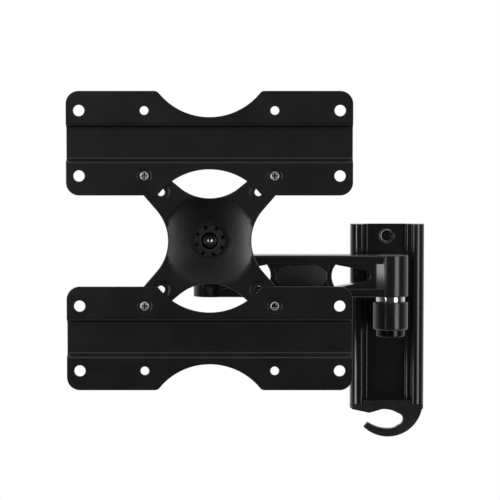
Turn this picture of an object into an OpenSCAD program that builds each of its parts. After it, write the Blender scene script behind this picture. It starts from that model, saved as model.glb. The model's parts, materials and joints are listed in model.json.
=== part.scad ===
// Full motion wall mount for a flat television: an extruded wall column with a cable
// hook, one cast swivel arm, a panning head with a ball joint, and an X plate with two
// bolt-on wings for the larger hole patterns.
// Millimetres. +X runs along the wall, -Y points into the room, +Z is up.
// The origin is the middle of the two wall holes, on the wall face.

/* [Wall column] */
// Width of the column
column_w = 60; // [58.5:0.5:80]
// Height of the extrusion
column_h = 147.6; // [140:0.2:220]
// Depth from the wall to the front of the cheeks
column_d = 16; // [15:0.5:22]
// Thickness of the floor that lies on the wall
floor_t = 3.5; // [3:0.1:5]
// Width of the channel between the cheeks
channel_w = 40; // [37:0.5:42]
// Width of the ledge along each side of the floor
ledge_w = 4.5; // [3:0.1:5]
// Height of the ledges above the wall
ledge_h = 9.5; // [8:0.5:11]
// Rounding of the cheeks' outer front edges
cheek_r = 7; // [3:0.5:8]
// Rounding of the cheeks' inner edges
cheek_in_r = 1.8; // [0.5:0.1:3]
// Rounding of the ledges' edges
ledge_r = 1.4; // [0.4:0.1:2.4]
// Drop from the top of the column to the upper wall hole
wall_hole_drop = 9.8; // [9:0.1:14]
// Distance between the two wall holes
wall_hole_spacing = 40; // [38:0.5:42]
// Diameter of the wall holes
wall_hole_d = 9.5; // [6:0.1:10]
// Diameter of the wall holes' countersinks
wall_sink_d = 13.5; // [12:0.1:14]

/* [Cable hook] */
// Thickness of the end cap under the column
cap_t = 3.8; // [3:0.1:4.2]
// Height of the cap's plug inside the channel
plug_h = 3.7; // [3.6:0.1:6]
// Thickness of the hook, front to back
hook_t = 6; // [4:0.1:9]
// How far the hook hangs below the column
hook_drop = 26.4; // [25:0.1:28]
// Radius of the hook's outer curve
hook_r = 28.5; // [27.5:0.1:28.5]
// Radius of the hook's inner curve
hook_in_r = 29; // [28:0.1:31]
// Thickness of the hook at its lowest point
hook_band = 6.6; // [5.5:0.1:7.5]
// Radius of the round end of the hook's eye
eye_r = 5.2; // [4.8:0.1:5.4]
// Radius of the mouth's curved roof
roof_r = 25.7; // [25:0.1:27]
// How far the lip at the hook's mouth reaches down
lip_drop = 6.8; // [6.5:0.1:7.2]

/* [Pivots] */
// Distance from the wall to the pivot axes
pivot_reach = 44; // [42:0.5:60]
// Diameter of the knuckles and hinge blocks
knuckle_d = 28; // [27:0.2:30]
// Height of the arm's knuckles
knuckle_h = 33; // [33:0.2:40]
// Drop from the top of the column to the middle of the arm
arm_drop = 40; // [38:0.2:60]
// Height of the wall hinge block
wall_block_h = 22.3; // [20:0.1:30]
// Height of the head block
head_block_h = 20.2; // [19:0.1:30]
// Width of the wall block's neck
neck_w = 22; // [18:0.5:26]
// Thickness of the wall block's foot
foot_t = 6; // [4:0.1:6]
// Diameter of the polished thrust rings
ring_d = 23.5; // [22:0.1:26]
// Thickness of the polished thrust rings
ring_t = 4.4; // [3:0.1:6]
// Diameter of the pivot bolts' shanks
pivot_d = 12; // [11:0.1:12.6]
// Diameter of the pivot bolts' threads
pivot_thread_d = 10; // [8:0.1:10]
// Diameter of the pivot bolts' round heads
collar_d = 23; // [20:0.1:26]
// Height of the pivot bolts' round heads
collar_h = 5.6; // [5:0.1:8]
// Outside diameter of the arm's bushes
bush_d = 17; // [16:0.1:18]
// Length of each bush
bush_h = 10.5; // [8:0.1:11]
// Depth of the pocket for the pivot nut
nut_pocket_h = 8.5; // [8.5:0.1:9.5]
// Diameter of the pocket for the pivot nut
nut_pocket_d = 22; // [21.8:0.1:23]
// Thickness of the pivot washers
pivot_washer_t = 1.5; // [1:0.1:1.6]
// Thickness of the pivot nuts
pivot_nut_t = 5; // [4:0.1:5]
// Width of the pivot nuts across their flats
pivot_nut_af = 16; // [14:0.1:16]
// Thickness of the caps over the nut pockets
knuckle_cap_t = 1.2; // [0.8:0.1:1.4]

/* [Arm] */
// Distance between the arm's two pivots
arm_len = 143.2; // [138:0.1:260]
// Depth of the arm, front to back
arm_depth = 24.8; // [22:0.1:26]
// Height of the arm at its middle
arm_h = 33.6; // [33.6:0.1:38]
// Rounding along the arm's edges
arm_edge_r = 1.8; // [0.5:0.1:2.4]
// Slope of the ramps that lead from the web up to the knuckles
ramp_slope = 24; // [24:0.5:27]
// Radius where the ramps leave the web
ramp_r = 12; // [6:0.5:14]
// Thickness of the arm's web
web_t = 18.8; // [12:0.1:19.4]
// Thickness of the raised panel at the middle of the web
panel_t = 21.4; // [20.6:0.1:23]
// Distance from each pivot to the near end of its window
window_near = 16.4; // [16:0.1:20]
// Distance from each pivot to the far end of its window
window_far = 47.4; // [40:0.1:50]
// Height of each window at its near end
window_near_h = 9.2; // [8:0.1:12]
// Height of each window at its far end
window_far_h = 18.2; // [14:0.1:19]
// Radius of each window's far end
window_far_r = 14.8; // [12:0.1:20]
// Clear height between the flanges at the middle of the arm
pocket_h = 20.2; // [20:0.1:24]
// Clear height between the flanges at the knuckles
pocket_end_h = 19.4; // [16:0.1:20]

/* [Ball joint] */
// Distance from the head pivot to the centre of the ball
ball_reach = 36; // [35:0.5:45]
// Height of the ball above the middle of the arm
ball_rise = 30; // [29.8:0.1:32]
// Diameter of the ball
ball_d = 19; // [18:0.1:19.4]
// Diameter of the neck behind the ball
ball_neck_d = 9; // [7:0.1:9.4]
// Reach of the head block's boss from its pivot
boss_reach = 17.5; // [16:0.1:18]
// Diameter of the head block's boss
boss_d = 18; // [17:0.1:18]
// Thickness of the nut that locks the ball stud
stud_nut_t = 3.5; // [3:0.1:4]
// Outside diameter of the ball housing
housing_d = 32; // [30:0.2:36]
// Diameter of the housing's bore
housing_bore_d = 23; // [22.8:0.1:24]
// Reach of the housing behind the ball's centre
housing_back = 9; // [8:0.1:9.5]
// Thickness of the rear ball liner
liner_t = 1.7; // [1.2:0.1:1.7]
// Diameter of the ring nut
ring_nut_d = 25; // [24.6:0.1:30]
// Thickness of the ring nut's flange
ring_nut_t = 3; // [2:0.1:4]
// Diameter of the hole in the ring nut
ring_nut_hole_d = 13.2; // [12:0.1:14]
// Number of spanner notches in the ring nut
ring_nut_notches = 8; // [4:1:12]

/* [X plate] */
// Thickness of the X plate
plate_t = 3; // [2:0.1:4]
// Distance from the ball's centre to the face the television bolts to
tv_reach = 19; // [18:0.1:22]
// Diameter of the round dish in the middle of the plate
dish_d = 71.2; // [66:0.2:76]
// Depth of the dish
dish_depth = 5.5; // [4:0.1:5.6]
// Radius of the dish's surface
dish_r = 101; // [96:1:120]
// Half width of the plate's waist, left and right
waist_x = 32.1; // [30:0.1:36]
// Half width of the plate's waist, top and bottom
waist_z = 32.8; // [30:0.1:36]
// Radius of the four scalloped edges
scallop_r = 36; // [30:0.1:38]
// Rounding at the end of each leg
leg_end_r = 10.4; // [9:0.1:11]
// Spacing of the small television hole pattern
small_pattern = 75; // [75:1:75]
// Spacing of the pattern that carries the wings
wing_pattern = 100; // [100:1:100]
// Diameter of the small pattern's holes
small_hole_d = 5.9; // [5:0.1:6]
// Diameter of the round embossings at the small pattern
emboss_d = 13; // [10:0.1:14]
// Depth of the round embossings
emboss_h = 0.8; // [0.4:0.1:1]

/* [Wings] */
// Length of each wing
wing_w = 220; // [216:1:260]
// Height of each wing
wing_h = 80; // [78:1:90]
// Thickness of the wings' sheet
wing_t = 2.5; // [2:0.1:3]
// Rounding of the wings' corners
wing_r = 10; // [5:0.5:12]
// Large television hole pattern
large_pattern = 200; // [200:1:200]
// Diameter of the holes in the large pattern
large_hole_d = 8.6; // [6:0.1:9]
// Diameter of the holes in the narrow pattern
narrow_hole_d = 6.6; // [5:0.1:7]
// How far the middle band is set back
band_depth = 5; // [4:0.1:6]
// Height of the middle band
band_h = 23; // [20:0.5:26]
// Height of each sloping bend
bend_h = 3; // [2:0.1:4]
// Radius of the arcs cut from the long edges
notch_r = 50; // [45:1:55]
// Depth of the arcs cut from the long edges
notch_depth = 20; // [16:0.5:20]
// Rounding where the arcs meet the edges
notch_round = 4.5; // [2:0.5:6]
// Diameter of the wing screws' shanks
wing_screw_d = 4; // [3:0.1:4]
// Diameter of the wing screws' heads
wing_head_d = 7.8; // [7:0.1:8.4]
// Diameter of the dimple around each wing screw
dimple_d = 11; // [9.5:0.1:12]
// Depth of the dimple around each wing screw
dimple_h = 1.2; // [0.6:0.1:1.4]

/* [Hidden] */
$fn = 96;

run_gap = 0.05;      // running clearance, per side
seat_gap = 0.02;     // clearance of pieces pressed or screwed together, per side
cut = 1;             // how far a cutting tool runs past a face

column_top = wall_hole_spacing/2 + wall_hole_drop;
column_bottom = column_top - column_h;
floor_w = channel_w - 2*ledge_w;
arm_z = column_top - arm_drop;
knuckle_top = knuckle_h/2;
pocket_floor = knuckle_top - nut_pocket_h;
head_x = -arm_len;
ball_y = -pivot_reach - ball_reach;
ball_z = arm_z + ball_rise;
wall_block_top = arm_z - knuckle_top - ring_t;

sink_depth = 2;              // depth of a countersink in the column's floor
plug_back = 2.2;             // the wall plugs start this far from the wall
plug_dome = 0.4;
plug_dimple_d = 3.4;
hinge_screw_d = 6;
hinge_screw_head_d = 11;
hinge_screw_pitch = 12;
hinge_screw_len = 20;
hook_screw_d = 3;
hook_screw_head_d = 3.6;
hook_screw_head_h = 0.9;
hook_screw_x = 10.5;
plug_gap = 0.2;
plug_front = column_d - 1;   // the plug stops short of the cheeks' front

mouth_floor = hook_drop - hook_band;      // lowest point inside the hook, below the column
lip_x = -15;                 // across from the column's middle to the lip's round end
lip_r = lip_drop - cap_t;
hook_shift = 0.5;            // across from the column's middle to the outer curve's centre
hook_in_shift = 0.7;
hook_side = hook_r + hook_shift;
eye = [7.7, 7.7 - mouth_floor];
roof_centre = [-3, -cap_t - roof_r];
tip_root_x = -14.3;          // the hook's tip is cut off between the next two points
tip_top = [-16.2, -14.9];
tip_bottom = [-19.7, -18.6];

block_rim = 1.6;             // rounding of the wall block's lower rim
block_top_rim = 0.5;
collar_socket_af = 8;
collar_socket_depth = 4;

blend_dip = 5;               // straight faces meet round ones at this small angle

window_end_r = window_near_h/2;
window_arc = window_far_r - sqrt(pow(window_far_r, 2) - pow(window_far_h/2, 2)) - 0.1;
panel_margin = 3.5;          // bare web between the raised panel and the windows
panel_edge_t = web_t + 0.4;

stud_thread_d = 10;
stud_thread_len = 9.5;
stud_nut_af = 17;
swing = 46;                  // half angle of the housing's rear opening
liner_from = 43;             // the rear liner covers this span, measured from the neck
liner_to = 72;
shank_len = 5.5;             // length of the ring nut's threaded shank
shank_wall = 3.2;
socket_af = 6;
socket_depth = 3.5;
socket_ball_r = 4.5;         // hollow at the bottom of the socket
liner_front_gap = 0.3;
housing_taper = 3.5;         // how much the housing narrows towards its back
housing_rim_h = 6;
spanner_notch = [3.2, 1.6, 2.8];          // reach, depth and width of the ring nut's notches
notch_turn = 29;             // how far the first notch is turned from the right

plate_front = tv_reach - wing_t;          // distances in front of the ball's centre
plate_back = plate_front - plate_t;
dish_floor = plate_front - dish_depth;
dish_back = dish_floor - plate_t;
dish_centre = plate_front + sqrt(dish_r*dish_r - dish_d*dish_d/4);
scallop_x = waist_x + scallop_r;
scallop_z = waist_z + scallop_r;
leg = wing_pattern/2;
leg_past = 9;                             // how far the legs reach past the wing screws
leg_limit = leg + leg_past;
core_inset = 8;                           // the plate's middle, inside its waists

wing_z = (large_pattern + wing_pattern)/4;
notch_z = notch_r - notch_depth;          // centre of an arc, above the edge that it is cut from
notch_round_x = sqrt(pow(notch_r + notch_round, 2) - pow(notch_z + notch_round, 2));
bend_slope = atan2(band_depth, bend_h);
bend_shift = wing_t*tan(bend_slope/2);
wing_head_h = 1.6;
wing_nut_af = 7;
wing_nut_t = 3.2;
wing_washer_d = 9;
wing_washer_t = 0.8;

black = [0.10, 0.10, 0.11];
gloss_black = [0.14, 0.14, 0.15];
cast_black = [0.18, 0.18, 0.20];
plastic_black = [0.22, 0.22, 0.23];
chrome = [0.85, 0.86, 0.88];
zinc = [0.66, 0.67, 0.64];
acetal = [0.88, 0.87, 0.82];

// ---- shared shapes ----

// A flat outline, drawn in X and Z, made solid from y_back forward to y_front
module slab(y_back, y_front)
    translate([0, y_back, 0]) rotate([90, 0, 0]) linear_extrude(y_back - y_front) children();

// A profile turned about the Y axis: its x is the radius, its y the distance into the room
module turned_y() rotate([90, 0, 0]) rotate_extrude() children();

// A round bar along Y, from y_back forward to y_front
module bar_y(r, y_back, y_front, r_front = undef)
    translate([0, y_back, 0]) rotate([90, 0, 0])
        cylinder(h = y_back - y_front, r1 = r, r2 = is_undef(r_front) ? r : r_front);

// An upright round post with rounded rims
module post(d, h, rim_bottom, rim_top) rotate_extrude() {
    translate([0, rim_bottom]) square([d/2, h - rim_bottom - rim_top]);
    intersection() {
        union() {
            translate([d/2 - rim_bottom, rim_bottom]) circle(rim_bottom);
            translate([d/2 - rim_top, h - rim_top]) circle(rim_top);
        }
        square([d/2, h]);
    }
    square([d/2 - rim_bottom, h/2]);
    translate([0, h/2]) square([d/2 - rim_top, h/2]);
}

// An upright ring
module ring(d_out, d_in, h) difference() {
    cylinder(h = h, d = d_out);
    translate([0, 0, -cut]) cylinder(h = h + 2*cut, d = d_in);
}

// A hexagon with the given width across its flats
module hexagon(af) circle(d = af/cos(30), $fn = 6);

// Where the pivots and the ball are
module at_wall_pivot() translate([0, -pivot_reach, arm_z]) children();
module at_head_pivot() translate([head_x, -pivot_reach, arm_z]) children();
module at_ball() translate([head_x, ball_y, ball_z]) children();

// Both pivots use the same parts, and the head's are upside down
module upside_down() mirror([0, 0, 1]) children();

// ---- wall column ----

module column_outer() {
    translate([-column_w/2, cheek_r - column_d]) square([column_w, column_d - cheek_r]);
    translate([cheek_r - column_w/2, -column_d]) square([column_w - 2*cheek_r, column_d]);
    for (s = [-1, 1]) translate([s*(column_w/2 - cheek_r), cheek_r - column_d]) circle(cheek_r);
}

// What a rounding takes off an edge to the left and in front of its centre
module edge_waste(r) difference() {
    translate([-r - cut, -r - cut]) square(r + cut);
    circle(r);
}

// The open inside of the column, made smaller by gap on every side
module channel_profile(gap) {
    translate([-channel_w/2 + gap, -column_d - cut])
        square([channel_w - 2*gap, column_d - ledge_h + cut - gap]);
    translate([-floor_w/2 + gap, -column_d - cut])
        square([floor_w - 2*gap, column_d - floor_t + cut - gap]);
}

module at_wall_holes() for (s = [-1, 1]) translate([0, 0, s*wall_hole_spacing/2]) children();

module at_hinge_screws()
    for (s = [-1, 1])
        translate([0, 0, wall_block_top - wall_block_h/2 + s*hinge_screw_pitch/2]) children();

module at_hook_screws()
    for (s = [-1, 1]) translate([s*hook_screw_x, 0, column_bottom + plug_h/2]) children();

module wall_column() color(gloss_black) difference() {
    translate([0, 0, column_bottom]) linear_extrude(column_h) difference() {
        column_outer();
        channel_profile(0);
        for (m = [0, 1]) mirror([m, 0]) {
            translate([channel_w/2 + cheek_in_r, cheek_in_r - column_d]) edge_waste(cheek_in_r);
            translate([floor_w/2 + ledge_r, ledge_r - ledge_h]) edge_waste(ledge_r);
        }
    }
    at_wall_holes() {
        bar_y(wall_hole_d/2, cut, -floor_t - cut);
        bar_y(wall_hole_d/2, sink_depth - floor_t, -floor_t, wall_sink_d/2);
    }
    at_hinge_screws() {
        bar_y(hinge_screw_d/2 + seat_gap, cut, -floor_t - cut);
        bar_y(hinge_screw_head_d/2 + seat_gap, 0, -sink_depth, hinge_screw_d/2 + seat_gap);
    }
    at_hook_screws() bar_y(hook_screw_d/2 + seat_gap, cut, -floor_t - cut);
}

// Push-in plugs that hide the heads of the wall screws
module wall_hole_plugs() color(plastic_black) at_wall_holes() difference() {
    bar_y(wall_hole_d/2 - seat_gap, -plug_back, -floor_t - plug_dome, wall_hole_d/2 - 1);
    bar_y(plug_dimple_d/2, -floor_t, -floor_t - cut);
}

// ---- end cap with the cable hook ----

// Outline of the hook, in X and Z, below the bottom of the column
module hook_outline() {
    lip_slope = asin(lip_r/(hook_side + lip_x));
    translate([-hook_side, -cap_t]) square([2*hook_side, cap_t]);
    translate([lip_x, -cap_t]) {
        circle(lip_r);
        polygon([[0, 0], [-hook_side - lip_x, 0], lip_r*cos(blend_dip)*[-sin(lip_slope), -cos(lip_slope)]]);
    }
    difference() {
        intersection() {
            translate([hook_shift, hook_r - hook_drop]) {
                circle(hook_r);
                square([hook_r, hook_drop]);
            }
            translate([-column_w/2, -hook_drop - cut]) square([column_w, hook_drop + cut]);
        }
        translate(eye) circle(eye_r);
        intersection() {
            translate([hook_in_shift, hook_in_r - mouth_floor]) circle(hook_in_r);
            translate(roof_centre) circle(roof_r);
            polygon([[tip_root_x, -lip_drop], [roof_centre[0] - 1, -cap_t], eye + [0, eye_r + 4],
                eye - [0, eye_r + 2], [hook_in_shift, -hook_drop], [-column_w, -hook_drop],
                [-column_w, -lip_drop]]);
        }
        polygon([[-column_w, -cap_t], [tip_root_x, -cap_t], tip_top, tip_bottom, [-column_w, -hook_drop]]);
    }
}

module cable_hook() color(plastic_black) difference() {
    translate([0, 0, column_bottom]) {
        translate([0, 0, -cap_t]) linear_extrude(cap_t) column_outer();
        slab(hook_t - column_d, -column_d) hook_outline();
        linear_extrude(plug_h) intersection() {
            channel_profile(plug_gap);
            translate([-channel_w/2, -plug_front]) square([channel_w, plug_front]);
        }
    }
    at_hook_screws() bar_y(hook_screw_d/2 + seat_gap, 0, -plug_front - cut);
}

// A cross recess across a screw head whose top faces the room at y
module cross_recess(y, w, t, depth) for (a = [0, 90])
    rotate([0, a, 0]) translate([0, y, 0]) cube([w, 2*depth, t], center = true);

module cable_hook_screws() color(zinc) at_hook_screws() difference() {
    union() {
        bar_y(hook_screw_d/2, -0.5, -plug_front);
        bar_y(hook_screw_head_d/2, -plug_front, -plug_front - hook_screw_head_h, hook_screw_head_d/2 - 0.6);
    }
    cross_recess(-plug_front - hook_screw_head_h, hook_screw_head_d/2, 0.5, 0.5);
}

// ---- wall hinge ----

module wall_hinge_block() color(cast_black) difference() {
    union() {
        translate([0, -pivot_reach, wall_block_top - wall_block_h])
            post(knuckle_d, wall_block_h, block_rim, block_top_rim);
        translate([-neck_w/2, -pivot_reach, wall_block_top - wall_block_h + block_rim])
            cube([neck_w, pivot_reach - floor_t, wall_block_h - block_rim - block_top_rim]);
        translate([plug_gap - floor_w/2, -floor_t - foot_t, wall_block_top - wall_block_h])
            cube([floor_w - 2*plug_gap, foot_t, wall_block_h]);
    }
    translate([0, -pivot_reach, wall_block_top - wall_block_h - cut])
        cylinder(h = wall_block_h + 2*cut, d = pivot_d + 2*seat_gap);
    at_hinge_screws() bar_y(hinge_screw_d/2 + seat_gap, cut, -hinge_screw_len - cut);
}

module hinge_block_screws() color(zinc) at_hinge_screws() difference() {
    union() {
        bar_y(hinge_screw_head_d/2, 0, -sink_depth, hinge_screw_d/2);
        bar_y(hinge_screw_d/2, -sink_depth, -hinge_screw_len);
    }
    slab(cut, -1.2) hexagon(3.6);
}

// ---- pivot hardware, drawn for the wall end: the block is below the arm ----

module pivot_bolt(block_h) color(cast_black) difference() {
    block_bottom = -knuckle_top - ring_t - block_h;
    union() {
        translate([0, 0, block_bottom - collar_h]) post(collar_d, collar_h, 1.2, 0.3);
        translate([0, 0, block_bottom - cut])
            cylinder(h = pocket_floor + run_gap - block_bottom + cut, d = pivot_d);
        cylinder(h = pocket_floor + pivot_washer_t + pivot_nut_t + 0.5, d = pivot_thread_d);
    }
    translate([0, 0, block_bottom - collar_h - cut])
        linear_extrude(collar_socket_depth + cut) hexagon(collar_socket_af);
}

module thrust_ring() color(chrome)
    translate([0, 0, -knuckle_top - ring_t]) difference() {
        post(ring_d, ring_t - run_gap, 0.5, 0.5);
        translate([0, 0, -cut]) cylinder(h = ring_t + 2*cut, d = pivot_d + 2*run_gap);
    }

module pivot_washer() color(zinc)
    translate([0, 0, pocket_floor + run_gap])
        ring(nut_pocket_d - 1.6, pivot_thread_d + 2*seat_gap, pivot_washer_t - run_gap);

module pivot_nut() color(zinc)
    translate([0, 0, pocket_floor + pivot_washer_t]) difference() {
        linear_extrude(pivot_nut_t) hexagon(pivot_nut_af);
        translate([0, 0, -cut]) cylinder(h = pivot_nut_t + 2*cut, d = pivot_thread_d + 2*seat_gap);
    }

module bush(z) color(acetal)
    translate([0, 0, z]) ring(bush_d, pivot_d + 2*run_gap, bush_h);

module knuckle_cap() color(plastic_black)
    translate([0, 0, knuckle_top - knuckle_cap_t]) post(nut_pocket_d - 2*seat_gap, knuckle_cap_t, 0, 0.4);

module wall_pivot_bolt() at_wall_pivot() pivot_bolt(wall_block_h);
module wall_thrust_ring() at_wall_pivot() thrust_ring();
module wall_pivot_washer() at_wall_pivot() pivot_washer();
module wall_pivot_nut() at_wall_pivot() pivot_nut();
module wall_knuckle_cap() at_wall_pivot() knuckle_cap();
module wall_bush_lower() at_wall_pivot() bush(-knuckle_top);
module wall_bush_upper() at_wall_pivot() bush(pocket_floor - bush_h);

module head_pivot_bolt() at_head_pivot() upside_down() pivot_bolt(head_block_h);
module head_thrust_ring() at_head_pivot() upside_down() thrust_ring();
module head_pivot_washer() at_head_pivot() upside_down() pivot_washer();
module head_pivot_nut() at_head_pivot() upside_down() pivot_nut();
module head_knuckle_cap() at_head_pivot() upside_down() knuckle_cap();
module head_bush_upper() at_head_pivot() upside_down() bush(-knuckle_top);
module head_bush_lower() at_head_pivot() upside_down() bush(pocket_floor - bush_h);

// ---- arm ----

// One window, in X and Z, for the pivot at the origin: the arm runs towards -X
module window_outline() {
    translate([-window_near - window_end_r, 0]) circle(window_end_r);
    polygon([[-window_near - window_end_r, window_near_h/2], [window_arc - window_far, window_far_h/2],
        [window_arc - window_far, -window_far_h/2], [-window_near - window_end_r, -window_near_h/2]]);
    intersection() {
        translate([window_far_r - window_far, 0]) circle(window_far_r);
        translate([-window_far, -window_far_h/2]) square([window_arc + cut, window_far_h]);
    }
}

module both_ends() {
    children();
    translate([-arm_len, 0]) mirror([1, 0]) children();
}

// The space between the two flanges, which the web closes
module pocket_outline() both_ends() polygon([[0, pocket_end_h/2], [-arm_len/2 - cut, pocket_h/2],
    [-arm_len/2 - cut, -pocket_h/2], [0, -pocket_end_h/2]]);

// The raised panel: crowned front and back, waisted left and right like the web
module arm_panel() {
    crown = (panel_t - panel_edge_t)/2;
    half_h = pocket_h/2;
    crown_r = (half_h*half_h + crown*crown)/(2*crown);
    intersection() {
        slab(panel_t/2, -panel_t/2) difference() {
            translate([-arm_len + window_far, -half_h]) square([arm_len - 2*window_far, 2*half_h]);
            both_ends() translate([window_far_r - window_far, 0]) circle(window_far_r + panel_margin);
        }
        translate([-arm_len/2, panel_t/2 - crown_r, 0]) rotate([0, 90, 0])
            cylinder(h = arm_len, r = crown_r, center = true);
        translate([-arm_len/2, crown_r - panel_t/2, 0]) rotate([0, 90, 0])
            cylinder(h = arm_len, r = crown_r, center = true);
    }
}

// The arm's section across its length, with rounded edges
module arm_section() {
    h = arm_h/2 - arm_edge_r;
    d = arm_depth/2 - arm_edge_r;
    square([2*h, arm_depth], center = true);
    square([arm_h, 2*d], center = true);
    for (x = [-h, h], y = [-d, d]) translate([x, y]) circle(arm_edge_r);
}

// Ramp from the web up to the wall knuckle, between the flanges, in X and Y:
// straight where it meets the knuckle, and hollow where it leaves the web
module web_ramp() {
    top = knuckle_d/2*cos(blend_dip)*[-sin(ramp_slope), cos(ramp_slope)];
    bend_h = ramp_r*(1 - cos(ramp_slope));
    bend_x = top[0] - (top[1] - web_t/2 - bend_h)/tan(ramp_slope);
    foot_x = bend_x - ramp_r*sin(ramp_slope);
    difference() {
        polygon([[0, 0], [foot_x, 0], [foot_x, web_t/2 + bend_h], [bend_x, web_t/2 + bend_h], top]);
        translate([foot_x, web_t/2 + ramp_r]) circle(ramp_r);
    }
}

// The arm from the front, before the windows: its edges rise a little towards the middle
module arm_outline() both_ends() for (m = [0, 1]) mirror([0, m])
    polygon([[0, 0], [0, knuckle_h/2], [-knuckle_d/2 - 2, knuckle_h/2], [-0.3*arm_len, arm_h/2],
        [-arm_len/2 - cut, arm_h/2], [-arm_len/2 - cut, 0]]);

module arm_beam() difference() {
    intersection() {
        slab(arm_depth/2, -arm_depth/2) arm_outline();
        rotate([0, -90, 0]) linear_extrude(arm_len) arm_section();
    }
    slab(arm_depth, -arm_depth) both_ends() window_outline();
    slab(-web_t/2, -arm_depth) pocket_outline();
    slab(arm_depth, web_t/2) pocket_outline();
}

module arm() color(cast_black) at_wall_pivot() difference() {
    union() {
        arm_beam();
        arm_panel();
        both_ends() for (m = [0, 1]) mirror([0, m, 0])
            translate([0, 0, -pocket_end_h/2 - 0.5]) linear_extrude(pocket_end_h + 1) web_ramp();
        for (x = [0, -arm_len]) translate([x, 0, -knuckle_top]) post(knuckle_d, knuckle_h, 0.6, 0.6);
    }
    arm_bores();
    translate([-arm_len, 0, 0]) upside_down() arm_bores();
}

module arm_bores() {
    translate([0, 0, -knuckle_top - cut]) cylinder(h = knuckle_h + 2*cut, d = bush_d + 2*seat_gap);
    translate([0, 0, pocket_floor]) cylinder(h = nut_pocket_h + cut, d = nut_pocket_d);
}

// ---- head ----

module head_block() color(cast_black) difference() {
    union() {
        at_head_pivot() translate([0, 0, knuckle_top + ring_t]) post(knuckle_d, head_block_h, 0.6, 0.6);
        at_ball() bar_y(boss_d/2, ball_reach, ball_reach - boss_reach);
    }
    at_head_pivot() translate([0, 0, knuckle_top]) cylinder(h = head_block_h + ring_t + cut,
        d = pivot_d + 2*seat_gap);
    at_ball() bar_y(stud_thread_d/2 + seat_gap, ball_reach - boss_reach + stud_thread_len + 0.5,
        ball_reach - boss_reach - cut);
}

module ball_stud() color(chrome) at_ball() difference() {
    shoulder = ball_reach - boss_reach - stud_nut_t;
    union() {
        turned_y() intersection() {
            circle(d = ball_d);
            translate([0, -ball_d]) square(2*ball_d);
        }
        bar_y(ball_neck_d/2, shoulder, 0);
        bar_y(stud_thread_d/2, ball_reach - boss_reach + stud_thread_len, shoulder);
    }
    slab(socket_depth - ball_d/2, -ball_d) hexagon(socket_af);
    translate([0, socket_depth + 1 - socket_ball_r - ball_d/2, 0]) sphere(r = socket_ball_r);
    bar_y(socket_af*0.75, 0.6 - ball_d/2, -ball_d);
}

module stud_nut() color(zinc) at_ball() difference() {
    front = ball_reach - boss_reach - stud_nut_t;
    slab(front + stud_nut_t, front) hexagon(stud_nut_af);
    bar_y(stud_thread_d/2 + seat_gap, front + stud_nut_t + cut, front - cut);
}

// The rear liner is a zone of a spherical shell, so the housing can tilt around it
module rear_liner() color(acetal) at_ball() turned_y() intersection() {
    difference() {
        circle(r = ball_d/2 + run_gap + liner_t);
        circle(r = ball_d/2 + run_gap);
    }
    polygon([[0, 0], for (a = [liner_from, liner_to]) 2*ball_d*[sin(a), -cos(a)]]);
}

module front_liner() color(acetal) at_ball() difference() {
    bar_y(housing_bore_d/2 - run_gap, -liner_front_gap, run_gap + shank_len - dish_floor);
    sphere(d = ball_d + 2*run_gap);
}

// ---- X plate, housing and ring nut ----

// Point where the line touching circle (c, r) and circle (d, s) on opposite sides leaves (c, r)
function touch(c, r, d, s, side) =
    let (v = d - c, a = atan2(v[1], v[0]) + side*acos((r + s)/norm(v)))
    c + r*[cos(a), sin(a)];

module plate_outline() {
    side = [scallop_x, 0];
    top = [0, scallop_z];
    hole = [leg, leg];
    difference() {
        union() {
            for (mx = [0, 1], mz = [0, 1]) mirror([mx, 0]) mirror([0, mz]) {
                polygon([[0, 0],
                    [scallop_x - scallop_r, 0],
                    touch(side, scallop_r, hole, leg_end_r, 1),
                    touch(hole, leg_end_r, side, scallop_r, 1),
                    touch(hole, leg_end_r, top, scallop_r, -1),
                    touch(top, scallop_r, hole, leg_end_r, -1),
                    [0, scallop_z - scallop_r]]);
                translate(hole) circle(leg_end_r);
            }
            square(2*[touch(side, scallop_r, hole, leg_end_r, 1)[0], waist_z - core_inset], center = true);
            square(2*[waist_x - core_inset, touch(top, scallop_r, hole, leg_end_r, -1)[1]], center = true);
        }
        for (s = [-1, 1]) {
            translate([s*scallop_x, 0]) circle(scallop_r);
            translate([0, s*scallop_z]) circle(scallop_r);
        }
    }
}

module at_pattern(w, h) for (x = [-w/2, w/2], z = [-h/2, h/2]) translate([x, 0, z]) children();

module vesa_plate() color(black) at_ball() difference() {
    union() {
        slab(-plate_back, -plate_front) intersection() {
            plate_outline();
            square(2*leg_limit, center = true);
        }
        intersection() {
            slab(-dish_back, -plate_front) plate_outline();
            translate([0, -dish_centre, 0]) sphere(r = dish_r + plate_t);
            bar_y(dish_d/2 + plate_t, -dish_back, -plate_front);
        }
        at_pattern(small_pattern, small_pattern)
            bar_y(emboss_d/2 + emboss_h, emboss_h - plate_back, plate_t/2 - plate_front);
    }
    intersection() {
        translate([0, -dish_centre, 0]) sphere(r = dish_r);
        bar_y(dish_d, -dish_floor, -plate_front - cut);
    }
    bar_y(housing_bore_d/2 + 0.1, -dish_back + cut, -plate_front);
    at_pattern(small_pattern, small_pattern) {
        bar_y(emboss_d/2, emboss_h - plate_front, -plate_front - cut);
        bar_y(small_hole_d/2, cut - plate_back, -plate_front - cut);
    }
    at_pattern(wing_pattern, wing_pattern) {
        bar_y(wing_screw_d/2 + 0.2, cut - plate_back, -plate_front - cut);
        bar_y(wing_washer_d/2 + 0.3, emboss_h + cut - plate_back, -plate_back);
    }
}

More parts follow.
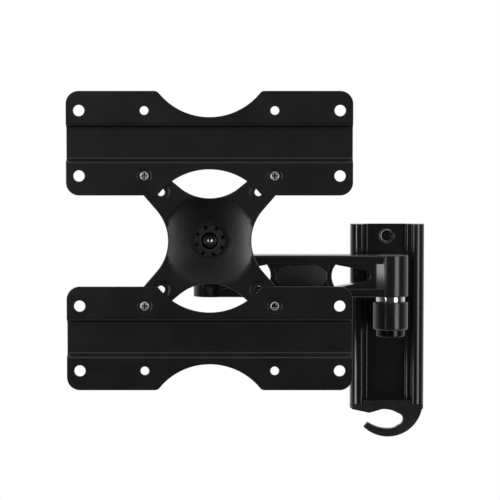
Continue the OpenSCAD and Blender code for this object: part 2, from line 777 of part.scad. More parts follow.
module ball_housing() color(cast_black) at_ball() difference() {
    union() {
        bar_y(housing_d/2, housing_rim_h - dish_back, -dish_back);
        bar_y(housing_d/2 - housing_taper, housing_back, -dish_back + cut, housing_d/2);
    }
    bar_y(housing_bore_d/2, 0, -dish_back - cut);
    sphere(r = ball_d/2 + liner_t + 2*run_gap);
    rotate([-90, 0, 0]) cylinder(h = 2*ball_d, r1 = 0, r2 = 2*ball_d*tan(swing));
}

module ring_nut() color(black) at_ball() difference() {
    union() {
        bar_y(ring_nut_d/2, -dish_floor, -dish_floor - ring_nut_t, ring_nut_d/2 - 0.5);
        bar_y(housing_bore_d/2 - seat_gap, shank_len - dish_floor, -dish_floor - cut);
    }
    bar_y(ring_nut_hole_d/2, 0, -tv_reach);
    bar_y(housing_bore_d/2 - shank_wall, 0, -dish_floor + 2.5);
    for (i = [0 : ring_nut_notches - 1]) rotate([0, i*360/ring_nut_notches + notch_turn, 0])
        translate([ring_nut_d/2, -dish_floor - ring_nut_t, 0])
            cube([2*spanner_notch[0], 2*spanner_notch[1], spanner_notch[2]], center = true);
}

// ---- wings ----

// Arc cut from a long edge that lies on X, with rounded meeting points
module notch_outline() difference() {
    share = notch_r/(notch_r + notch_round);
    meet_z = notch_z - (notch_z + notch_round)*share;
    union() {
        translate([0, notch_z]) circle(notch_r);
        polygon([[-notch_round_x, 0], [-notch_round_x*share, meet_z], [notch_round_x*share, meet_z],
            [notch_round_x, 0], [notch_round_x, cut], [-notch_round_x, cut]]);
    }
    for (s = [-1, 1]) translate([s*notch_round_x, -notch_round]) circle(notch_round);
}

module wing_outline() difference() {
    union() {
        square([wing_w, wing_h - 2*wing_r], center = true);
        square([wing_w - 2*wing_r, wing_h], center = true);
        for (x = [-1, 1], z = [-1, 1])
            translate([x*(wing_w/2 - wing_r), z*(wing_h/2 - wing_r)]) circle(wing_r);
    }
    for (m = [0, 1]) mirror([0, m]) translate([0, wing_h/2]) notch_outline();
}

// Section of the folded sheet: x is the height, y the distance behind the television's face
module wing_section() {
    a = band_h/2;
    b = a + bend_h;
    e = wing_h/2;
    polygon([[-e, 0], [-b, 0], [-a, band_depth], [a, band_depth], [b, 0], [e, 0],
        [e, wing_t], [b + bend_shift, wing_t], [a + bend_shift, band_depth + wing_t],
        [-a - bend_shift, band_depth + wing_t], [-b - bend_shift, wing_t], [-e, wing_t]]);
}

// One wing, with the row that carries it below its middle
module wing() color(black) difference() {
    intersection() {
        slab(cut - tv_reach + band_depth + wing_t, -tv_reach - cut) wing_outline();
        translate([-wing_w/2, -tv_reach, 0]) rotate([90, 0, 90]) linear_extrude(wing_w)
            rotate(90) mirror([0, 1]) wing_section();
    }
    rows = (large_pattern - wing_pattern)/4;
    for (x = [-1, 1]) {
        for (z = [-rows, rows]) translate([x*large_pattern/2, 0, z])
            bar_y(large_hole_d/2, 0, -tv_reach - cut);
        translate([x*wing_pattern/2, 0, rows]) bar_y(narrow_hole_d/2, 0, -tv_reach - cut);
        translate([x*wing_pattern/2, 0, -rows]) {
            bar_y(wing_screw_d/2 + 0.2, 0, -tv_reach - cut);
            bar_y(dimple_d/2, dimple_h - tv_reach, -tv_reach - cut);
        }
    }
}

module wing_top() at_ball() translate([0, 0, wing_z]) wing();
module wing_bottom() at_ball() mirror([0, 0, 1]) translate([0, 0, wing_z]) wing();

module wing_screws() color(zinc) at_ball() at_pattern(wing_pattern, wing_pattern) difference() {
    seat = dimple_h - tv_reach;
    union() {
        bar_y(wing_screw_d/2, wing_washer_t + wing_nut_t + 1 - plate_back, seat);
        bar_y(wing_head_d/2, seat, seat - wing_head_h, wing_head_d/2 - 0.7);
    }
    cross_recess(seat - wing_head_h, wing_head_d*0.6, 1, 1);
}

module wing_washers() color(zinc) at_ball() at_pattern(wing_pattern, wing_pattern) difference() {
    bar_y(wing_washer_d/2, wing_washer_t - plate_back, -plate_back);
    bar_y(wing_screw_d/2 + seat_gap, wing_washer_t - plate_back + cut, -plate_back - cut);
}

module wing_nuts() color(zinc) at_ball() at_pattern(wing_pattern, wing_pattern) difference() {
    back = wing_washer_t + wing_nut_t - plate_back;
    slab(back, back - wing_nut_t) hexagon(wing_nut_af);
    bar_y(wing_screw_d/2 + seat_gap, back + cut, back - wing_nut_t - cut);
}

wall_column();
wall_hole_plugs();
cable_hook();
cable_hook_screws();
wall_hinge_block();
hinge_block_screws();
wall_pivot_bolt();
wall_thrust_ring();
wall_pivot_washer();
wall_pivot_nut();
arm();
wall_bush_lower();
wall_bush_upper();
head_bush_lower();
head_bush_upper();
wall_knuckle_cap();
head_knuckle_cap();
head_block();
head_pivot_bolt();
head_thrust_ring();
head_pivot_washer();
head_pivot_nut();
ball_stud();
stud_nut();
rear_liner();
front_liner();
vesa_plate();
ball_housing();
ring_nut();
wing_top();
wing_bottom();
wing_screws();
wing_washers();
wing_nuts();
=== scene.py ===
import json
import math
import bpy
import bmesh
from mathutils import Matrix, Vector

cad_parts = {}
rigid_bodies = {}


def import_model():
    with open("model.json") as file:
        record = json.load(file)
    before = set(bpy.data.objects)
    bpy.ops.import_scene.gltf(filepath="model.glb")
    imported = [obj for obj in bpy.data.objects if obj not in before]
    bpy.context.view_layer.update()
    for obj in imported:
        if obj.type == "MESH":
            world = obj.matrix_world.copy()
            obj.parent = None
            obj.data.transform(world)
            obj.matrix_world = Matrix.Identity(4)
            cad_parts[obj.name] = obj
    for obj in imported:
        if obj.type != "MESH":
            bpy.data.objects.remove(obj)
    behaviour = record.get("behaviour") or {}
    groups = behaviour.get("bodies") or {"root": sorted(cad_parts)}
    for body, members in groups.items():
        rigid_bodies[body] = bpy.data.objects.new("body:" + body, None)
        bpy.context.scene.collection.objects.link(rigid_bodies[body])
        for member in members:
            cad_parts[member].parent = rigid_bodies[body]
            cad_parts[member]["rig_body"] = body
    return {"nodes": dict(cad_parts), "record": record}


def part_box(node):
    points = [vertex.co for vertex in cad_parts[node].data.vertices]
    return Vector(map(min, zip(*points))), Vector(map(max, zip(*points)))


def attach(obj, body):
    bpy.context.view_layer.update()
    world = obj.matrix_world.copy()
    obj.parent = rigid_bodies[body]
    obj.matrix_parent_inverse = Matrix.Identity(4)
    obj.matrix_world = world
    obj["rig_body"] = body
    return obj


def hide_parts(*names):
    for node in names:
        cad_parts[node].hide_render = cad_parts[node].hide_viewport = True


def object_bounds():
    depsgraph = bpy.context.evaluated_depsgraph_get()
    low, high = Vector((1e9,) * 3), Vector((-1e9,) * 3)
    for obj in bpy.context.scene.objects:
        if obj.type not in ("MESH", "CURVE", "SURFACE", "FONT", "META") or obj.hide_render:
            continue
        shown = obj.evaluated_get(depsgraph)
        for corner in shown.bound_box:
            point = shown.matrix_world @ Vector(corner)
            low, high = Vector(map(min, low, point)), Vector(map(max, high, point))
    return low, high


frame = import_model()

cadBox = [list(corner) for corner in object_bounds()]
nodes = frame["nodes"]
slots = {entry["node"]: entry["material_slot"] for entry in frame["record"]["subparts"]}
mm = 0.001
print("frame loaded:", len(nodes), "parts")


# places are taken from the parts, so that the scene follows them

def middle(node):
    low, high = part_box(node)
    return (low + high) / 2


ballCentre = Vector((middle("ball_stud").x, 0, middle("vesa_plate").z))
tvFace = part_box("wing_top")[0].y

camera = {
    "distance": 1.380,     # from the television's face
    "elevation": 3.0,      # degrees above the middle of the mount
    "aside": 0.0310,       # the view is centred this far right of the ball joint
    "below": 0.00675,      # and this far below it
    "lens": 129.5,
    "sensor": 36,
}
target = Vector((ballCentre.x + camera["aside"], tvFace, ballCentre.z - camera["below"]))


def addCamera():
    tip = math.radians(camera["elevation"])
    data = bpy.data.cameras.new("camera")
    data.lens = camera["lens"]
    data.sensor_width = camera["sensor"]
    made = bpy.data.objects.new("camera", data)
    bpy.context.collection.objects.link(made)
    made.location = target + Vector((0, -math.cos(tip), math.sin(tip))) * camera["distance"]
    made.rotation_euler = (math.radians(90) - tip, 0, 0)
    bpy.context.scene.camera = made


addCamera()

lamps = {
    # name: azimuth, elevation, distance, width, height, power
    "leftBox": (-46, -2, 1.5, 0.62, 1.1, 15),
    "rightBox": (43, -2, 1.5, 0.62, 1.1, 8.5),
    "topBox": (0, 62, 1.6, 1.6, 0.8, 2.2),
    "rimBox": (150, 40, 1.6, 0.8, 0.8, 2),
}


def addLamp(name, azimuth, elevation, distance, width, height, power):
    data = bpy.data.lights.new(name, "AREA")
    data.shape = "RECTANGLE"
    data.size = width
    data.size_y = height
    data.energy = power
    lamp = bpy.data.objects.new(name, data)
    bpy.context.collection.objects.link(lamp)
    swing, rise = math.radians(azimuth), math.radians(elevation)
    level = math.cos(rise)
    away = Vector((math.sin(swing) * level, -math.cos(swing) * level, math.sin(rise)))
    lamp.location = target + away * distance
    lamp.rotation_euler = away.to_track_quat("Z", "Y").to_euler()


for name, values in lamps.items():
    addLamp(name, *values)


def addNode(tree, kind, **values):
    made = tree.nodes.new(kind)
    for name, value in values.items():
        setattr(made, name, value)
    return made


def addRange(tree, value, low, high, fromLow=0.3, fromHigh=0.7):
    spread = addNode(tree, "ShaderNodeMapRange")
    spread.inputs["From Min"].default_value = fromLow
    spread.inputs["From Max"].default_value = fromHigh
    spread.inputs["To Min"].default_value = low
    spread.inputs["To Max"].default_value = high
    tree.links.new(value, spread.inputs["Value"])
    return spread.outputs[0]


def addAxes(tree, space):
    place = addNode(tree, "ShaderNodeTexCoord")
    split = addNode(tree, "ShaderNodeSeparateXYZ")
    tree.links.new(place.outputs[space], split.inputs[0])
    return split.outputs


room = {
    # white paper behind the mount, and a dim room in front that is lightest just above the camera
    "behindFrom": -0.15, "behindTo": 0.45, "behindLow": 0.03, "behindHigh": 0.9,
    "front": {0.40: 0.0, 0.48: 0.02, 0.55: 0.60, 0.62: 0.10, 1.0: 0.10},
}


def addWorld():
    world = bpy.data.worlds.new("studio")
    bpy.context.scene.world = world
    world.use_nodes = True
    tree = world.node_tree
    tree.nodes.clear()
    output = addNode(tree, "ShaderNodeOutputWorld")
    rays = addNode(tree, "ShaderNodeLightPath")
    light = addNode(tree, "ShaderNodeBackground")
    paper = addNode(tree, "ShaderNodeBackground")
    paper.inputs["Color"].default_value = (1, 1, 1, 1)
    mix = addNode(tree, "ShaderNodeMixShader")
    axes = addAxes(tree, "Generated")
    behind = addRange(tree, axes["Y"], room["behindLow"], room["behindHigh"],
                      room["behindFrom"], room["behindTo"])
    height = addRange(tree, axes["Z"], 0, 1, -1, 1)
    front = addNode(tree, "ShaderNodeValToRGB")
    front.color_ramp.interpolation = "EASE"
    stops = front.color_ramp.elements
    for spot, level in room["front"].items():
        stops.new(spot).color = (level, level, level, 1)
    stops.remove(stops[0])              # the two stops that it starts with
    stops.remove(stops[-1])
    total = addNode(tree, "ShaderNodeMath", operation="ADD")
    tree.links.new(height, front.inputs[0])
    tree.links.new(behind, total.inputs[0])
    tree.links.new(front.outputs[0], total.inputs[1])
    tree.links.new(total.outputs[0], light.inputs["Strength"])
    tree.links.new(rays.outputs["Is Camera Ray"], mix.inputs[0])
    tree.links.new(light.outputs[0], mix.inputs[1])
    tree.links.new(paper.outputs[0], mix.inputs[2])
    tree.links.new(mix.outputs[0], output.inputs["Surface"])


addWorld()
bpy.context.scene.view_settings.view_transform = "Standard"
print("camera and light ready")


# finishes

def newMaterial(name, colour, roughness, metallic=0.0):
    material = bpy.data.materials.new(name)
    material.use_nodes = True
    shader = material.node_tree.nodes["Principled BSDF"]
    shader.inputs["Base Color"].default_value = (*colour, 1)
    shader.inputs["Roughness"].default_value = roughness
    shader.inputs["Metallic"].default_value = metallic
    return material, material.node_tree, shader


def addGrain(tree, scale, detail=2.0, stretch=(1, 1, 1)):
    place = addNode(tree, "ShaderNodeTexCoord")
    turn = addNode(tree, "ShaderNodeMapping")
    turn.inputs["Scale"].default_value = stretch
    noise = addNode(tree, "ShaderNodeTexNoise")
    noise.inputs["Scale"].default_value = scale
    noise.inputs["Detail"].default_value = detail
    tree.links.new(place.outputs["Object"], turn.inputs[0])
    tree.links.new(turn.outputs[0], noise.inputs["Vector"])
    return noise.outputs["Fac"]


def addTint(tree, value, dark, light):
    ramp = addNode(tree, "ShaderNodeValToRGB")
    ramp.color_ramp.elements[0].color = (*dark, 1)
    ramp.color_ramp.elements[1].color = (*light, 1)
    tree.links.new(value, ramp.inputs[0])
    return ramp.outputs[0]


def addBump(tree, shader, height, strength, depth):
    bump = addNode(tree, "ShaderNodeBump")
    bump.inputs["Strength"].default_value = strength
    bump.inputs["Distance"].default_value = depth
    tree.links.new(height, bump.inputs["Height"])
    tree.links.new(bump.outputs[0], shader.inputs["Normal"])


# broad mottling, and the depth of the orange peel or the grain
coat = {"cloud": 45, "cloudDetail": 3, "peelDepth": 0.00006}
plating = {"cloud": 160, "cloudDetail": 3, "grainDepth": 0.00003}
blackPart = {"lighter": 1.6, "rougher": 0.1, "peel": 800, "peelStrength": 0.2}


def coatedMetal(name, dark, light, smooth, rough, peel, peelStrength, stretch=(1, 1, 1)):
    material, tree, shader = newMaterial(name, dark, smooth)
    broad = addGrain(tree, coat["cloud"], coat["cloudDetail"], stretch)
    fine = addGrain(tree, peel, 2, stretch)
    tint = addTint(tree, addRange(tree, broad, 0, 1), dark, light)
    tree.links.new(tint, shader.inputs["Base Color"])
    tree.links.new(addRange(tree, broad, smooth, rough), shader.inputs["Roughness"])
    addBump(tree, shader, fine, peelStrength, coat["peelDepth"])
    return material


def dullMetal(name, colour, roughness, gloss):
    lighter = tuple(blackPart["lighter"] * part for part in colour)
    material = coatedMetal(name, colour, lighter, roughness, roughness + blackPart["rougher"],
                           blackPart["peel"], blackPart["peelStrength"])
    material.node_tree.nodes["Principled BSDF"].inputs["Specular IOR Level"].default_value = gloss
    return material


def platedMetal(name, dark, light, smooth, rough, grain, strength,
                stretch=(1, 1, 1), depth=plating["grainDepth"]):
    material, tree, shader = newMaterial(name, light, smooth, 1.0)
    broad = addGrain(tree, plating["cloud"], plating["cloudDetail"])
    fine = addGrain(tree, grain, 2, stretch)
    tint = addTint(tree, addRange(tree, broad, 0, 1), dark, light)
    tree.links.new(tint, shader.inputs["Base Color"])
    tree.links.new(addRange(tree, fine, smooth, rough), shader.inputs["Roughness"])
    addBump(tree, shader, fine, strength, depth)
    return material


# coats: darkest and lightest colour, smoothest and roughest, scale and strength of the peel,
# which is drawn out along the column, as on an extrusion
powderCoat = coatedMetal("powderCoat", (0.0012, 0.0012, 0.0013), (0.0020, 0.0020, 0.0021),
                         0.285, 0.335, 1100, 0.20)
columnCoat = coatedMetal("columnCoat", (0.0042, 0.0041, 0.0042), (0.0054, 0.0052, 0.0053),
                         0.16, 0.20, 350, 0.06, stretch=(1, 1, 0.06))
castCoat = coatedMetal("castCoat", (0.0042, 0.0041, 0.0042), (0.0056, 0.0054, 0.0055),
                       0.19, 0.24, 520, 0.12)
# the arm's crowned panels: the cast paint made rougher, and painted lighter to stand for the light
# that the web catches
paintedLightPadCoat = coatedMetal("paintedLightPadCoat", (0.0062, 0.0060, 0.0061), (0.0080, 0.0077, 0.0078),
                      0.36, 0.42, 520, 0.18)
blackSteel = coatedMetal("blackSteel", (0.0020, 0.0020, 0.0021), (0.0030, 0.0030, 0.0031),
                         0.34, 0.44, 800, 0.2)
hookPlastic = coatedMetal("hookPlastic", (0.0030, 0.0030, 0.0032), (0.0040, 0.0040, 0.0042),
                          0.30, 0.38, 900, 0.2)
acetal = coatedMetal("acetal", (0.70, 0.68, 0.60), (0.76, 0.74, 0.67), 0.38, 0.48, 900, 0.15)

# blacks that shine less: colour, roughness, gloss
# painted shade: a near-black, dull black for the inner faces of notches and recesses, standing for
# the shade that falls in them
paintedShadeBlack = dullMetal("paintedShadeBlack", (0.0004, 0.0004, 0.0004), 0.5, 0.12)
boltBlack = dullMetal("boltBlack", (0.0010, 0.0010, 0.0010), 0.16, 0.30)
plugBlack = dullMetal("plugBlack", (0.0007, 0.0007, 0.0007), 0.3, 0.22)

# bare and plated metals: as the coats, with the scale and strength of the grain
chrome = platedMetal("chrome", (0.66, 0.67, 0.69), (0.78, 0.79, 0.80),
                     0.07, 0.14, 900, 0.10, stretch=(1, 1, 6))
zincPlate = platedMetal("zincPlate", (0.24, 0.25, 0.245), (0.66, 0.67, 0.64),
                        0.28, 0.48, 1000, 1.0, depth=0.00010)
studSteel = platedMetal("studSteel", (0.20, 0.20, 0.21), (0.40, 0.40, 0.41),
                        0.06, 0.11, 900, 0.25)

finishes = {
    "gloss_black": columnCoat, "powder_black": powderCoat, "cast_black": castCoat,
    "black_steel": blackSteel, "black_plastic": hookPlastic, "acetal": acetal,
    "chrome": chrome, "zinc": zincPlate,
}
finishOf = {name: finishes[slot] for name, slot in slots.items()}
special = {
    "wall_hole_plugs": plugBlack, "ball_stud": studSteel,
    "wall_pivot_bolt": boltBlack, "head_pivot_bolt": boltBlack,
}

floorSettings = {
    # gloss sees the white sweep behind the mount
    "size": 3, "drop": 0.45, "colour": (0.86, 0.86, 0.86), "roughness": 0.7,
    "glossFrom": -0.6, "glossTo": -0.1, "glossLow": 0.02,
}


def addFloor():
    material, tree, shader = newMaterial("floorPaint", floorSettings["colour"],
                                         floorSettings["roughness"])
    glow = addNode(tree, "ShaderNodeEmission")
    rays = addNode(tree, "ShaderNodeLightPath")
    mix = addNode(tree, "ShaderNodeMixShader")
    sweep = addRange(tree, addAxes(tree, "Object")["Y"], floorSettings["glossLow"], 1,
                     floorSettings["glossFrom"], floorSettings["glossTo"])
    level = addNode(tree, "ShaderNodeMath", operation="MAXIMUM")
    seen = addNode(tree, "ShaderNodeMath", operation="MAXIMUM")
    tree.links.new(sweep, level.inputs[0])
    tree.links.new(rays.outputs["Is Camera Ray"], level.inputs[1])
    tree.links.new(level.outputs[0], glow.inputs["Strength"])
    tree.links.new(rays.outputs["Is Camera Ray"], seen.inputs[0])
    tree.links.new(rays.outputs["Is Glossy Ray"], seen.inputs[1])
    tree.links.new(seen.outputs[0], mix.inputs[0])
    tree.links.new(shader.outputs[0], mix.inputs[1])
    tree.links.new(glow.outputs[0], mix.inputs[2])
    tree.links.new(mix.outputs[0], tree.nodes["Material Output"].inputs["Surface"])
    mesh = bpy.data.meshes.new("floor")
    shape = bmesh.new()
    bmesh.ops.create_grid(shape, x_segments=1, y_segments=1, size=floorSettings["size"])
    bmesh.ops.translate(shape, verts=shape.verts, vec=(0, 0, cadBox[0][2] - floorSettings["drop"]))
    shape.to_mesh(mesh)
    shape.free()
    mesh.materials.append(material)
    floor = bpy.data.objects.new("floor", mesh)
    bpy.context.collection.objects.link(floor)


addFloor()
print("finishes ready")


# tools for the pieces: a copied part gets rounded edges by a rule that gives each edge its width,
# from its middle, its direction and how many degrees the surface turns there

meshTools = {"weld": 0.00002, "flat": 0.3, "smoothBelow": 30, "segments": 3, "faceWeight": 80}


def evenNormals(piece):
    even = piece.modifiers.new("normals", "WEIGHTED_NORMAL")
    even.mode = "FACE_AREA"
    even.weight = meshTools["faceWeight"]
    even.keep_sharp = True


def copyShape(node):
    shape = bmesh.new()
    shape.from_mesh(nodes[node].data)
    bmesh.ops.remove_doubles(shape, verts=shape.verts, dist=meshTools["weld"])
    bmesh.ops.dissolve_limit(shape, angle_limit=math.radians(meshTools["flat"]),
                             verts=shape.verts, edges=shape.edges)
    shape.normal_update()
    return shape


def addPiece(name, shape, node, finish):
    for face in shape.faces:
        face.smooth = True
    mesh = bpy.data.meshes.new(name)
    shape.to_mesh(mesh)
    shape.free()
    mesh.materials.append(finish)
    piece = bpy.data.objects.new(name, mesh)
    bpy.context.collection.objects.link(piece)
    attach(piece, nodes[node]["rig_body"])
    return piece


def roundPiece(name, shape, node, rule):
    weights = shape.edges.layers.float.new("bevel_weight_edge")
    widths = {}
    for edge in shape.edges:
        if len(edge.link_faces) != 2:
            continue
        turn = math.degrees(edge.calc_face_angle_signed(0.0))
        first, second = edge.verts
        width = rule((first.co + second.co) / 2, (second.co - first.co).normalized(), turn)
        edge.smooth = abs(turn) < meshTools["smoothBelow"] or width > 0
        widths[edge] = width
    widest = max(widths.values())
    for edge, width in widths.items():
        edge[weights] = width / widest
    piece = addPiece(name, shape, node, finishOf[node])
    bevel = piece.modifiers.new("bevel", "BEVEL")
    bevel.width = widest * mm
    bevel.segments = meshTools["segments"]
    bevel.limit_method = "WEIGHT"
    bevel.use_clamp_overlap = False
    evenNormals(piece)
    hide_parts(node)
    return piece


# the two wings: soft bends, crisp rims

wingEdges = {
    "bend": 1.0, "bendFrom": 45, "bendTo": 75, "level": 0.999,
    "rim": 0.4, "rimFrom": 70,
}


def wingRule(place, along, turn):
    atBend = wingEdges["bendFrom"] < abs(turn) < wingEdges["bendTo"]
    if atBend and abs(along.x) > wingEdges["level"]:
        return wingEdges["bend"]
    return wingEdges["rim"] if abs(turn) > wingEdges["rimFrom"] else 0


roundPiece("wing-top", copyShape("wing_top"), "wing_top", wingRule)
roundPiece("wing-bottom", copyShape("wing_bottom"), "wing_bottom", wingRule)


# the X plate: the front rim of its dish flows into the flat, except close to the outline

plateEdges = {
    "dishRim": 1.8, "dishFrom": 33, "dishTo": 40,    # where the rim lies, out from the ball
    "turnFrom": 10, "turnTo": 35,
    "clear": 3.5,                                    # left sharp this near to the outline
    "outline": 0.6, "holes": 0.35, "sharp": 60,
    "middle": 14,                                    # nearer to the ball, an edge is a hole's
}
plateShape = copyShape("vesa_plate")


def outwards(place):
    return math.hypot(place.x - ballCentre.x, place.z - ballCentre.z) / mm


outline = [(edge.verts[0].co + edge.verts[1].co) / 2 for edge in plateShape.edges
           if len(edge.link_faces) == 2 and edge.calc_face_angle(0.0) > 1
           and outwards(edge.verts[0].co) > plateEdges["middle"]]


def plateRule(place, along, turn):
    reach = outwards(place)
    onRim = plateEdges["dishFrom"] < reach < plateEdges["dishTo"]
    if onRim and plateEdges["turnFrom"] < turn < plateEdges["turnTo"]:
        gap = min((place - other).length for other in outline)
        return plateEdges["dishRim"] if gap > plateEdges["clear"] * mm else 0
    if abs(turn) > plateEdges["sharp"]:
        return plateEdges["holes"] if reach < plateEdges["middle"] else plateEdges["outline"]
    return 0


roundPiece("x-plate", plateShape, "vesa_plate", plateRule)


# the cast arm: its raised panels are flattened here and made again as crowned ovals, whose coat is
# painted lighter to stand for light

armEdges = {
    "outside": 2.4, "nearKnuckle": 0.7, "mouth": 0.9, "window": 0.4, "sharp": 38,
    "root": 1.8, "hollow": -25, "level": 0.9,
}
armPlaces = {
    # from the arm's middle
    "knuckle": 44, "rootHalf": 8, "rootHeight": 12, "flange": 11, "mouth": 11.5,
    "panelHalf": 30, "webClear": 9.42, "panelFlat": 9.55, "panelTop": 11,
}
armLow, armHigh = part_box("arm")
armMiddle = (armLow + armHigh) / 2
armShape = copyShape("arm")
for vertex in armShape.verts:
    away = (vertex.co - armMiddle) / mm
    raised = armPlaces["webClear"] < abs(away.y) < armPlaces["panelTop"]
    if raised and abs(away.x) < armPlaces["panelHalf"]:
        vertex.co.y = armMiddle.y + math.copysign(armPlaces["panelFlat"] * mm, away.y)


def armRule(place, along, turn):
    away = (place - armMiddle) / mm
    across, deep, up = abs(away.x), abs(away.y), abs(away.z)
    if turn < armEdges["hollow"]:
        atRoot = across < armPlaces["rootHalf"] and up < armPlaces["rootHeight"]
        return armEdges["root"] if atRoot and abs(along.x) > armEdges["level"] else 0
    if turn < armEdges["sharp"]:
        return 0
    if up > armPlaces["flange"]:
        return armEdges["outside"] if across < armPlaces["knuckle"] else armEdges["nearKnuckle"]
    return armEdges["mouth"] if deep > armPlaces["mouth"] else armEdges["window"]


roundPiece("cast-arm", armShape, "arm", armRule)

armPad = {
    "length": 41.4, "height": 23, "segments": 96,
    "step": 0.5, "crown": 1.0,                       # height of the oval's edge and of its crown
    "trim": 10.05,                                   # cut off at the flanges, from the middle
    "base": 9.5, "sunk": 0.4,                        # from the arm's middle, and how deep it sits
    # share of the size and share of the step, then the rings up to the crown
    "edge": [(1.0, 0.6), (0.995, 0.8), (0.98, 0.95), (0.95, 1.0)],
    "rings": 4, "ringStep": 0.19,
}


def freshOf(grown, kind):
    return [item for item in grown["geom"] if isinstance(item, kind)]


def addPad(name, side):
    shape = bmesh.new()
    halfLength, halfHeight = armPad["length"] / 2, armPad["height"] / 2
    bmesh.ops.create_circle(shape, cap_ends=False, segments=armPad["segments"], radius=1)
    bmesh.ops.rotate(shape, verts=shape.verts, matrix=Matrix.Rotation(math.radians(90), 3, "X"))
    for vertex in shape.verts:
        vertex.co = Vector((vertex.co.x * halfLength, 0, vertex.co.z * halfHeight))
    ring = list(shape.edges)
    inmost = armPad["edge"][-1][0]
    rings = [(inmost - armPad["ringStep"] * step, 1.0) for step in range(1, armPad["rings"] + 1)]
    for share, rise in armPad["edge"] + rings:
        grown = bmesh.ops.extrude_edge_only(shape, edges=ring)
        ring = freshOf(grown, bmesh.types.BMEdge)
        for vertex in freshOf(grown, bmesh.types.BMVert):
            spread = math.hypot(vertex.co.x / halfLength, vertex.co.z / halfHeight)
            vertex.co.x *= share / spread
            vertex.co.z *= share / spread
            vertex.co.y = armPad["step"] * rise + armPad["crown"] * (1 - share * share)
    bmesh.ops.edgeloop_fill(shape, edges=ring)
    for up in (1, -1):
        cut = shape.verts[:] + shape.edges[:] + shape.faces[:]
        bmesh.ops.bisect_plane(shape, geom=cut, dist=1e-6, plane_co=(0, 0, up * armPad["trim"]),
                               plane_no=(0, 0, up), clear_outer=True)
    rims = [edge for edge in shape.edges if edge.is_boundary]
    grown = bmesh.ops.extrude_edge_only(shape, edges=rims)
    for vertex in freshOf(grown, bmesh.types.BMVert):
        vertex.co.y = -armPad["sunk"]
    bmesh.ops.edgeloop_fill(shape, edges=freshOf(grown, bmesh.types.BMEdge))
    for vertex in shape.verts:
        vertex.co.y = side * (vertex.co.y + armPad["base"])
        vertex.co = vertex.co * mm + armMiddle
    bmesh.ops.recalc_face_normals(shape, faces=shape.faces)
    addPiece(name, shape, "arm", paintedLightPadCoat)


addPad("arm-pad-front", -1)
addPad("arm-pad-back", 1)


# the cable hook: the eye's round end runs smoothly into the hook's curves

hookEdges = {
    "front": 0.45, "cap": 0.35, "sharp": 40,
    "joins": ((7.7, -124.3), (7.7, -135.9)),         # across and up, where the eye meets the curves
    "joinReach": 4.0, "joinPasses": 10,
}
hookShape = copyShape("cable_hook")
columnLow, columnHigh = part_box("wall_column")
near = 0.2 * mm                                      # nearer than this, an edge lies on a face
joinReach = hookEdges["joinReach"]
for across, up in hookEdges["joins"]:
    atJoin = [vertex for vertex in hookShape.verts
              if math.hypot(vertex.co.x / mm - across, vertex.co.z / mm - up) < joinReach]
    for step in range(hookEdges["joinPasses"]):
        bmesh.ops.smooth_vert(hookShape, verts=atJoin, factor=0.5, use_axis_x=True, use_axis_z=True)
hookShape.normal_update()


def hookRule(place, along, turn):
    if abs(turn) < hookEdges["sharp"] or place.z > columnLow.z + near:
        return 0
    return hookEdges["front"] if place.z < columnLow.z - near and turn > 0 else hookEdges["cap"]


hookCap = roundPiece("hook-cap", hookShape, "cable_hook", hookRule)
for face in hookCap.data.polygons:                   # the flat plug in the channel is shaded flat
    if face.center.z > columnLow.z + near:
        face.use_smooth = False


# the column, with a rolled lip round each wall hole

columnEdges = {"corner": 0.4, "ends": 0.45, "sharp": 25, "upright": 0.99}


def columnRule(place, along, turn):
    if abs(turn) < columnEdges["sharp"]:
        return 0
    if abs(along.z) > columnEdges["upright"]:
        return columnEdges["corner"]
    atEnd = min(place.z - columnLow.z, columnHigh.z - place.z) < near
    return columnEdges["ends"] if atEnd and turn > 0 else 0


roundPiece("wall-channel", copyShape("wall_column"), "wall_column", columnRule)

holeLip = {
    "outside": 6.85, "round": 1.1,                   # radii
    "turn": 84, "segments": 8, "steps": 72,          # how far it rolls over, and its fineness
    "floor": 3.5,                                    # the channel's floor, out from the wall
    "proud": 0.04, "depth": 1.75, "skirt": 0.05, "flat": 0.1, "wall": 0.3,
    "smoothBelow": 40,
}


def addLip(name, height):
    shape = bmesh.new()
    face = -holeLip["floor"] - holeLip["proud"]
    outside, curve = holeLip["outside"], holeLip["round"]
    profile = [(outside + holeLip["skirt"], face + holeLip["wall"]), (outside, face)]
    for step in range(holeLip["segments"] + 1):
        turn = math.radians(holeLip["turn"] * step / holeLip["segments"])
        reach = outside - holeLip["flat"] - curve * math.sin(turn)
        profile.append((reach, face + curve * (1 - math.cos(turn))))
    profile.append((profile[-1][0], face + holeLip["depth"]))
    profile.append((outside - holeLip["wall"], face + holeLip["depth"]))
    points = [shape.verts.new((reach * mm, deep * mm, 0)) for reach, deep in profile]
    edges = [shape.edges.new((points[i - 1], points[i])) for i in range(1, len(points))]
    edges.append(shape.edges.new((points[-1], points[0])))
    bmesh.ops.spin(shape, geom=points + edges, cent=(0, 0, 0), axis=(0, 1, 0), dvec=(0, 0, 0),
                   angle=math.radians(360), steps=holeLip["steps"], use_merge=True)
    bmesh.ops.remove_doubles(shape, verts=shape.verts, dist=1e-6)
    bmesh.ops.recalc_face_normals(shape, faces=shape.faces)
    bmesh.ops.translate(shape, verts=shape.verts, vec=(0, 0, height))
    for edge in shape.edges:
        edge.smooth = math.degrees(edge.calc_face_angle(0.0)) < holeLip["smoothBelow"]
    addPiece(name, shape, "wall_column", finishOf["wall_column"])


plugLow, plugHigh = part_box("wall_hole_plugs")
holeHeight = plugHigh.z - (plugHigh.x - plugLow.x) / 2
addLip("hole-lip-top", holeHeight)
addLip("hole-lip-bottom", -holeHeight)
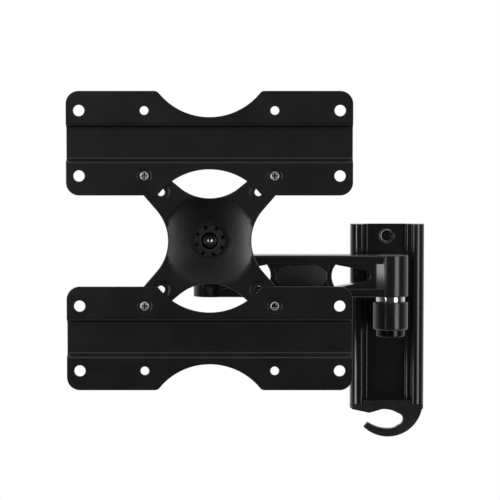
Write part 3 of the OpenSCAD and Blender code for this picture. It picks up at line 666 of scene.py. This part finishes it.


# the ring nut in the dish: its notches are cut deeper, and their inner faces get painted shade

ringNut = {
    "outside": 0.25, "bore": 0.45, "boreRadius": 6.6, "sharp": 25,
    "notchFrom": 9, "notchInset": 0.25,              # out from the ball and in from the side
    "notchTop": 0.1, "notchFloor": 1.6, "notchEnd": 3,
    "deeper": 1.2,
}
nutShape = copyShape("ring_nut")
nutLow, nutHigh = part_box("ring_nut")
nutFront = nutLow.y
nutRadius = (nutHigh.x - nutLow.x) / 2 / mm
for vertex in nutShape.verts:
    atFloor = abs(vertex.co.y - nutFront - ringNut["notchFloor"] * mm) < 0.05 * mm
    if atFloor and outwards(vertex.co) > ringNut["notchFrom"]:
        vertex.co.y += ringNut["deeper"] * mm
# painted shade: the faces inside the notches take the second, near-black material
for face in nutShape.faces:
    spot = face.calc_center_median()
    deep = ringNut["notchTop"] < (spot.y - nutFront) / mm < ringNut["notchEnd"]
    inNotch = ringNut["notchFrom"] < outwards(spot) < nutRadius - ringNut["notchInset"]
    face.material_index = 1 if deep and inNotch else 0


def nutRule(place, along, turn):
    if turn < ringNut["sharp"]:
        return 0
    reach = outwards(place)
    if abs(reach - nutRadius) < 0.3 and abs(along.y) < 0.3:      # the rims of its outer side
        return ringNut["outside"]
    if abs(reach - ringNut["boreRadius"]) < 0.2 and place.y < nutFront + 0.5 * mm:
        return ringNut["bore"]
    return 0


dishNut = roundPiece("dish-ring-nut", nutShape, "ring_nut", nutRule)
dishNut.data.materials.append(paintedShadeBlack)


# the wings' screws: domed heads, with painted shade in the cross recess

wingScrew = {
    "headRadius": 3.9, "head": 0.65, "recess": 0.1, "sharp": 25,
    "recessReach": 2.6, "recessFrom": 0.3, "recessTo": 2.2,
}
screwShape = copyShape("wing_screws")
screwLow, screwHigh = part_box("wing_screws")
headRadius = wingScrew["headRadius"] * mm
screwCentres = [(x, z) for x in (screwLow.x + headRadius, screwHigh.x - headRadius)
                for z in (screwLow.z + headRadius, screwHigh.z - headRadius)]


def fromScrew(place):
    return min(math.hypot(place.x - x, place.z - z) for x, z in screwCentres) / mm


def screwRule(place, along, turn):
    if turn < wingScrew["sharp"]:
        return 0
    return wingScrew["head"] if fromScrew(place) > wingScrew["recessReach"] else wingScrew["recess"]


# painted shade: faces down in the cross recess take the second, near-black material
for face in screwShape.faces:
    spot = face.calc_center_median()
    deep = wingScrew["recessFrom"] < (spot.y - screwLow.y) / mm < wingScrew["recessTo"]
    face.material_index = 1 if deep and fromScrew(spot) < wingScrew["recessReach"] else 0
plateScrews = roundPiece("plate-screws", screwShape, "wing_screws", screwRule)
plateScrews.data.materials.append(paintedShadeBlack)
print("pieces ready")


# the parts that are kept as they are, with softened edges

softening = {"weld": 0.00002, "flat": 0.2, "segments": 2, "angle": 32}
edgeWidth = {
    "wall_hole_plugs": 0.3, "cable_hook_screws": 0.15,
    "wall_hinge_block": 0.4, "wall_pivot_bolt": 0.3,
    "wall_thrust_ring": 0.2, "wall_knuckle_cap": 0.2,
    "head_block": 0.4, "head_pivot_bolt": 0.3,
    "head_thrust_ring": 0.2, "head_knuckle_cap": 0.2,
    "ball_stud": 0.25, "stud_nut": 0.3, "ball_housing": 0.4,
    "wing_washers": 0.15, "wing_nuts": 0.25,
}


def soften(node, width):
    part = nodes[node]
    weld = part.modifiers.new("weld", "WELD")
    weld.merge_threshold = softening["weld"]
    flats = part.modifiers.new("flats", "DECIMATE")
    flats.decimate_type = "DISSOLVE"
    flats.angle_limit = math.radians(softening["flat"])
    bevel = part.modifiers.new("bevel", "BEVEL")
    bevel.width = width * mm
    bevel.segments = softening["segments"]
    bevel.limit_method = "ANGLE"
    bevel.angle_limit = math.radians(softening["angle"])
    bevel.use_clamp_overlap = True
    evenNormals(part)


for name, part in nodes.items():
    for slot in part.material_slots:
        slot.material = special.get(name, finishOf[name])
    if name in edgeWidth:
        soften(name, edgeWidth[name])
print("parts finished")
